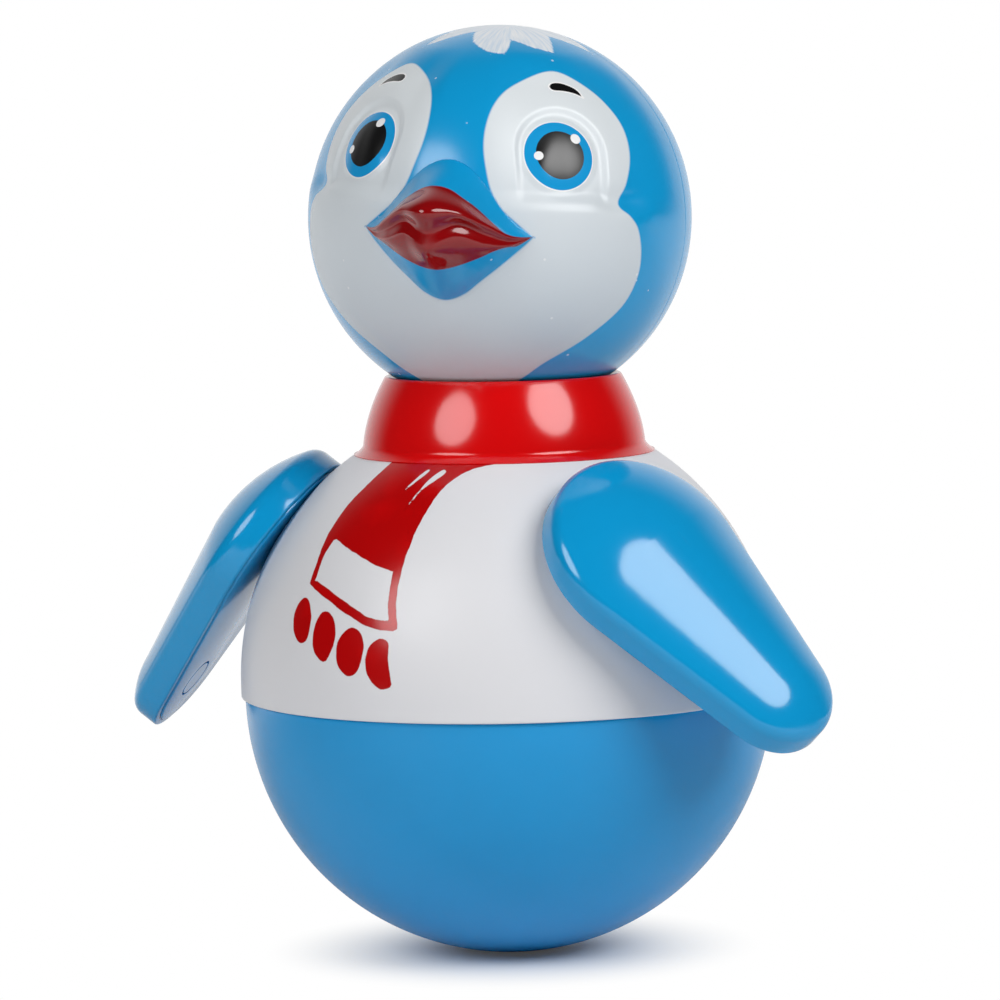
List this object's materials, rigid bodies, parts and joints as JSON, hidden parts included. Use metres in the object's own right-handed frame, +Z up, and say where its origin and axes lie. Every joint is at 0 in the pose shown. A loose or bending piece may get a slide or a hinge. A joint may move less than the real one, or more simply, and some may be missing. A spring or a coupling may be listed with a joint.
{
  "type": "roly poly toy",
  "caption": "Self-righting roly poly toy in the form of a penguin, with a weighted round base, turning head, swinging wings and an inner chime.",
  "frame": {"origin": "centre of the small flat under the bowl, on the floor", "axes": "+Z up, body faces -Y, toy's left is +X"},
  "size_m": [0.1912, 0.13, 0.2244],
  "materials": {
    "blue_plastic": "glossy moulded",
    "white_plastic": "glossy moulded",
    "red_plastic": "glossy moulded",
    "face_plastic": "satin and painted",
    "inner_plastic": "moulded",
    "steel": "bright",
    "iron": "as cast"
  },
  "bodies": {
    "body": {"lower_shell": "blue_plastic", "upper_shell": "white_plastic", "collar": "red_plastic", "collar_lock_ring": "inner_plastic", "neck_spool": "inner_plastic", "neck_clip": "steel", "ballast": "iron", "ballast_washer": "steel", "ballast_screw": "steel", "chime_base": "inner_plastic", "chime_rods": "steel", "chime_bridge": "steel", "bridge_screws": "steel"},
    "head": {"head_front": "face_plastic", "head_back": "blue_plastic"},
    "left_wing": {"left_wing_shell": "blue_plastic", "left_wing_cover": "blue_plastic", "left_wing_pin": "inner_plastic", "left_wing_clip": "steel"},
    "right_wing": {"right_wing_shell": "blue_plastic", "right_wing_cover": "blue_plastic", "right_wing_pin": "inner_plastic", "right_wing_clip": "steel"},
    "link": {"link_ring": "steel"},
    "striker": {"striker": "steel"}
  },
  "joints": [
    {"name": "head_turn", "type": "hinge", "parent": "body", "child": "head", "pos_m": [0, 0, 0.1781], "axis": [0, 0, 1], "continuous": true},
    {"name": "left_wing_swing", "type": "hinge", "parent": "body", "child": "left_wing", "pos_m": [0.05097, -0.02193, 0.1001], "axis": [0.7436, -0.2825, 0.606], "range_deg": [-161, 111]},
    {"name": "right_wing_swing", "type": "hinge", "parent": "body", "child": "right_wing", "pos_m": [-0.05097, -0.02193, 0.1001], "axis": [-0.7436, -0.2825, 0.606], "range_deg": [-123, 149]},
    {"name": "link_swing", "type": "hinge", "parent": "body", "child": "link", "pos_m": [0, 0, 0.07992], "axis": [1, 0, 0], "range_deg": [-17, 17]},
    {"name": "striker_swing", "type": "hinge", "parent": "link", "child": "striker", "pos_m": [0, 0, 0.07592], "axis": [0, 1, 0], "range_deg": [-20, 20]}
  ]
}
